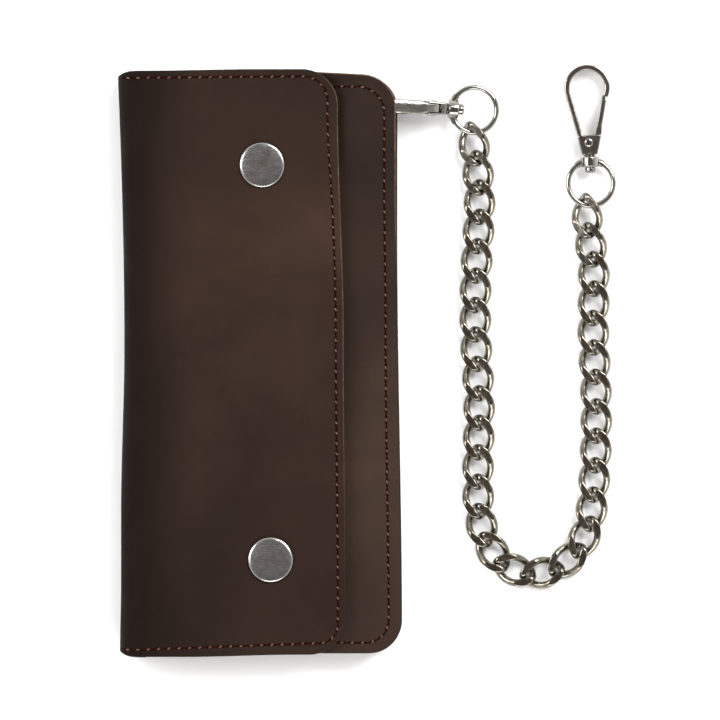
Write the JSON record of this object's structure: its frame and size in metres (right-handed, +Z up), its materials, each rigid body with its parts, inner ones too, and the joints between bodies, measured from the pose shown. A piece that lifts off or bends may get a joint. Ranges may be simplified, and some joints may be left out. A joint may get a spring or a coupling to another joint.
{
  "type": "chain wallet",
  "caption": "Long leather bifold wallet closed by two snaps, with a curb chain between a swivel snap hook clipped through its corner eyelet and a second hook for a belt.",
  "frame": {"origin": "middle of the flat face of the rear cover that the closed wallet rests on", "axes": "+Z up out of the closed wallet through the front cover, +Y along the wallet towards the eyelet end, +X from the fold towards the chain"},
  "size_m": [0.1689, 0.2014, 0.0193],
  "materials": {
    "leather": "matt oiled leather, dark brown",
    "lining": "thin undyed-back leather",
    "thread": "waxed thread, red brown",
    "zip_tape": "woven tape",
    "zip_brass": "antique brass",
    "snap_cap": "satin nickel",
    "fittings": "nickel plate",
    "hook_nickel": "polished nickel plate",
    "chain_nickel": "nickel plate, slightly warm"
  },
  "bodies": {
    "wallet_body": {"back_cover": "leather", "rear_leaf": "lining", "front_leaf": "leather", "gusset": "lining", "coin_pocket": "lining", "zip_tape": "zip_tape", "eyelet": "fittings", "eyelet_washer": "fittings", "snap_stud_upper": "fittings", "snap_stud_lower": "fittings"},
    "spine": {"spine": "leather"},
    "cover": {"front_cover": "leather", "card_pocket_back": "leather", "card_pocket_front": "leather", "snap_cap_upper": "snap_cap", "snap_cap_lower": "snap_cap", "snap_socket_upper": "fittings", "snap_socket_lower": "fittings"},
    "zip_slider": {"zip_slider": "zip_brass", "zip_pull": "zip_brass"},
    "hook_1": {"hook_1": "hook_nickel", "gate_pin_1": "hook_nickel", "gate_spring_1": "hook_nickel"},
    "gate_1": {"gate_1": "hook_nickel"},
    "ring_1": {"swivel_ring_1": "hook_nickel"},
    "link_01": {"link_01": "chain_nickel"},
    "link_02": {"link_02": "chain_nickel"},
    "link_03": {"link_03": "chain_nickel"},
    "link_04": {"link_04": "chain_nickel"},
    "link_05": {"link_05": "chain_nickel"},
    "link_06": {"link_06": "chain_nickel"},
    "link_07": {"link_07": "chain_nickel"},
    "link_08": {"link_08": "chain_nickel"},
    "link_09": {"link_09": "chain_nickel"},
    "link_10": {"link_10": "chain_nickel"},
    "link_11": {"link_11": "chain_nickel"},
    "link_12": {"link_12": "chain_nickel"},
    "link_13": {"link_13": "chain_nickel"},
    "link_14": {"link_14": "chain_nickel"},
    "link_15": {"link_15": "chain_nickel"},
    "link_16": {"link_16": "chain_nickel"},
    "link_17": {"link_17": "chain_nickel"},
    "link_18": {"link_18": "chain_nickel"},
    "link_19": {"link_19": "chain_nickel"},
    "link_20": {"link_20": "chain_nickel"},
    "link_21": {"link_21": "chain_nickel"},
    "link_22": {"link_22": "chain_nickel"},
    "link_23": {"link_23": "chain_nickel"},
    "link_24": {"link_24": "chain_nickel"},
    "link_25": {"link_25": "chain_nickel"},
    "link_26": {"link_26": "chain_nickel"},
    "link_27": {"link_27": "chain_nickel"},
    "link_28": {"link_28": "chain_nickel"},
    "link_29": {"link_29": "chain_nickel"},
    "link_30": {"link_30": "chain_nickel"},
    "ring_2": {"swivel_ring_2": "hook_nickel"},
    "hook_2": {"hook_2": "hook_nickel", "gate_pin_2": "hook_nickel", "gate_spring_2": "hook_nickel"},
    "gate_2": {"gate_2": "hook_nickel"}
  },
  "joints": [
    {"name": "spine_fold", "type": "hinge", "parent": "wallet_body", "child": "spine", "pos_m": [-0.0387, 0, 0.001], "axis": [0, -1, 0], "range_deg": [0, 90], "deforming": ["spine"]},
    {"name": "cover_fold", "type": "hinge", "parent": "spine", "child": "cover", "pos_m": [-0.0387, 0, 0.0167], "axis": [0, -1, 0], "range_deg": [0, 90]},
    {"name": "zip_slide", "type": "slide", "parent": "wallet_body", "child": "zip_slider", "axis": [0, -1, 0], "range_m": [0, 0.116]},
    {"name": "hook_1_swing", "type": "hinge", "parent": "wallet_body", "child": "hook_1", "pos_m": [0.0365, 0.0879, 0.007], "axis": [0, 0, 1], "range_deg": [-4, 20]},
    {"name": "gate_1_open", "type": "hinge", "parent": "hook_1", "child": "gate_1", "pos_m": [0.05928, 0.0868, 0.00564], "axis": [-0.0454, -0.999, 0], "range_deg": [0, 16], "stiffness_Nm_per_rad": 0.02, "springref_deg": -17.19},
    {"name": "swivel_1", "type": "hinge", "parent": "hook_1", "child": "ring_1", "pos_m": [0.06585, 0.0865, 0.00509], "axis": [0.9925, -0.0451, -0.1132], "continuous": true},
    {"name": "chain_01", "type": "hinge", "parent": "ring_1", "child": "link_01", "pos_m": [0.0719, 0.0796, 0.0042], "axis": [0, 0, 1], "range_deg": [-5, 5]},
    {"name": "chain_02", "type": "hinge", "parent": "link_01", "child": "link_02", "pos_m": [0.07387, 0.06979, 0.00328], "axis": [0, 0, -1], "range_deg": [-5, 5]},
    {"name": "chain_03", "type": "hinge", "parent": "link_02", "child": "link_03", "pos_m": [0.07487, 0.05983, 0.00263], "axis": [0, 0, 1], "range_deg": [-5, 5]},
    {"name": "chain_04", "type": "hinge", "parent": "link_03", "child": "link_04", "pos_m": [0.07488, 0.04979, 0.00232], "axis": [0, 0, -1], "range_deg": [-5, 5]},
    {"name": "chain_05", "type": "hinge", "parent": "link_04", "child": "link_05", "pos_m": [0.07415, 0.03978, 0.0023], "axis": [0, 0, 1], "range_deg": [-5, 5]},
    {"name": "chain_06", "type": "hinge", "parent": "link_05", "child": "link_06", "pos_m": [0.07364, 0.02975, 0.00229], "axis": [0, 0, -1], "range_deg": [-5, 5]},
    {"name": "chain_07", "type": "hinge", "parent": "link_06", "child": "link_07", "pos_m": [0.07338, 0.01971, 0.0023], "axis": [0, 0, 1], "range_deg": [-5, 5]},
    {"name": "chain_08", "type": "hinge", "parent": "link_07", "child": "link_08", "pos_m": [0.07347, 0.00966, 0.0023], "axis": [0, 0, -1], "range_deg": [-5, 5]},
    {"name": "chain_09", "type": "hinge", "parent": "link_08", "child": "link_09", "pos_m": [0.07406, -0.00036, 0.0023], "axis": [0, 0, 1], "range_deg": [-5, 5]},
    {"name": "chain_10", "type": "hinge", "parent": "link_09", "child": "link_10", "pos_m": [0.07469, -0.01039, 0.0023], "axis": [0, 0, -1], "range_deg": [-5, 5]},
    {"name": "chain_11", "type": "hinge", "parent": "link_10", "child": "link_11", "pos_m": [0.07476, -0.02043, 0.0023], "axis": [0, 0, 1], "range_deg": [-5, 5]},
    {"name": "chain_12", "type": "hinge", "parent": "link_11", "child": "link_12", "pos_m": [0.0744, -0.03047, 0.0023], "axis": [0, 0, -1], "range_deg": [-5, 5]},
    {"name": "chain_13", "type": "hinge", "parent": "link_12", "child": "link_13", "pos_m": [0.07432, -0.04051, 0.0023], "axis": [0, 0, 1], "range_deg": [-5, 5]},
    {"name": "chain_14", "type": "hinge", "parent": "link_13", "child": "link_14", "pos_m": [0.07451, -0.05054, 0.0023], "axis": [0, 0, -1], "range_deg": [-5, 5]},
    {"name": "chain_15", "type": "hinge", "parent": "link_14", "child": "link_15", "pos_m": [0.0767, -0.06029, 0.0023], "axis": [0, 0, 1], "range_deg": [-5, 5]},
    {"name": "chain_16", "type": "hinge", "parent": "link_15", "child": "link_16", "pos_m": [0.08215, -0.06861, 0.0023], "axis": [0, 0, -1], "range_deg": [-1, 5]},
    {"name": "chain_17", "type": "hinge", "parent": "link_16", "child": "link_17", "pos_m": [0.09133, -0.07241, 0.0023], "axis": [0, 0, 1], "range_deg": [-5, 1]},
    {"name": "chain_18", "type": "hinge", "parent": "link_17", "child": "link_18", "pos_m": [0.10109, -0.07054, 0.0023], "axis": [0, 0, -1], "range_deg": [-4, 5]},
    {"name": "chain_19", "type": "hinge", "parent": "link_18", "child": "link_19", "pos_m": [0.1086, -0.06403, 0.0023], "axis": [0, 0, 1], "range_deg": [-5, 5]},
    {"name": "chain_20", "type": "hinge", "parent": "link_19", "child": "link_20", "pos_m": [0.11254, -0.05488, 0.0023], "axis": [0, 0, -1], "range_deg": [-5, 5]},
    {"name": "chain_21", "type": "hinge", "parent": "link_20", "child": "link_21", "pos_m": [0.11361, -0.04491, 0.0023], "axis": [0, 0, 1], "range_deg": [-6, 6]},
    {"name": "chain_22", "type": "hinge", "parent": "link_21", "child": "link_22", "pos_m": [0.1143, -0.0349, 0.0023], "axis": [0, 0, -1], "range_deg": [-7.2, 7.2]},
    {"name": "chain_23", "type": "hinge", "parent": "link_22", "child": "link_23", "pos_m": [0.11462, -0.02486, 0.0023], "axis": [0, 0, 1], "range_deg": [-8.4, 8.4]},
    {"name": "chain_24", "type": "hinge", "parent": "link_23", "child": "link_24", "pos_m": [0.1147, -0.01481, 0.0023], "axis": [0, 0, -1], "range_deg": [-9.6, 9.6]},
    {"name": "chain_25", "type": "hinge", "parent": "link_24", "child": "link_25", "pos_m": [0.11435, -0.00477, 0.00229], "axis": [0, 0, 1], "range_deg": [-10.8, 10.8]},
    {"name": "chain_26", "type": "hinge", "parent": "link_25", "child": "link_26", "pos_m": [0.1138, 0.00525, 0.00228], "axis": [0, 0, -1], "range_deg": [-12, 12]},
    {"name": "chain_27", "type": "hinge", "parent": "link_26", "child": "link_27", "pos_m": [0.1135, 0.01529, 0.00231], "axis": [0, 0, 1], "range_deg": [-13.2, 13.2]},
    {"name": "chain_28", "type": "hinge", "parent": "link_27", "child": "link_28", "pos_m": [0.11397, 0.02532, 0.00237], "axis": [0, 0, -1], "range_deg": [-14.4, 14.4]},
    {"name": "chain_29", "type": "hinge", "parent": "link_28", "child": "link_29", "pos_m": [0.11363, 0.03534, 0.00262], "axis": [0, 0, 1], "range_deg": [-15.6, 15.6]},
    {"name": "chain_30", "type": "hinge", "parent": "link_29", "child": "link_30", "pos_m": [0.11192, 0.04522, 0.00314], "axis": [0, 0, -1], "range_deg": [-16.8, 16.8]},
    {"name": "chain_31", "type": "hinge", "parent": "link_30", "child": "ring_2", "pos_m": [0.1111, 0.0552, 0.0039], "axis": [0, 0, 1], "range_deg": [-18, 18]},
    {"name": "swivel_2", "type": "hinge", "parent": "ring_2", "child": "hook_2", "pos_m": [0.11247, 0.06844, 0.00353], "axis": [-0.0384, 0.9989, -0.0279], "continuous": true},
    {"name": "gate_2_open", "type": "hinge", "parent": "hook_2", "child": "gate_2", "pos_m": [0.11202, 0.07502, 0.00334], "axis": [-0.0011, 0.0279, 0.9996], "range_deg": [0, 20], "stiffness_Nm_per_rad": 0.02, "springref_deg": -17.19}
  ],
  "couplings": [
    {"joint": "cover_fold", "follows": "spine_fold", "ratio": 1}
  ]
}
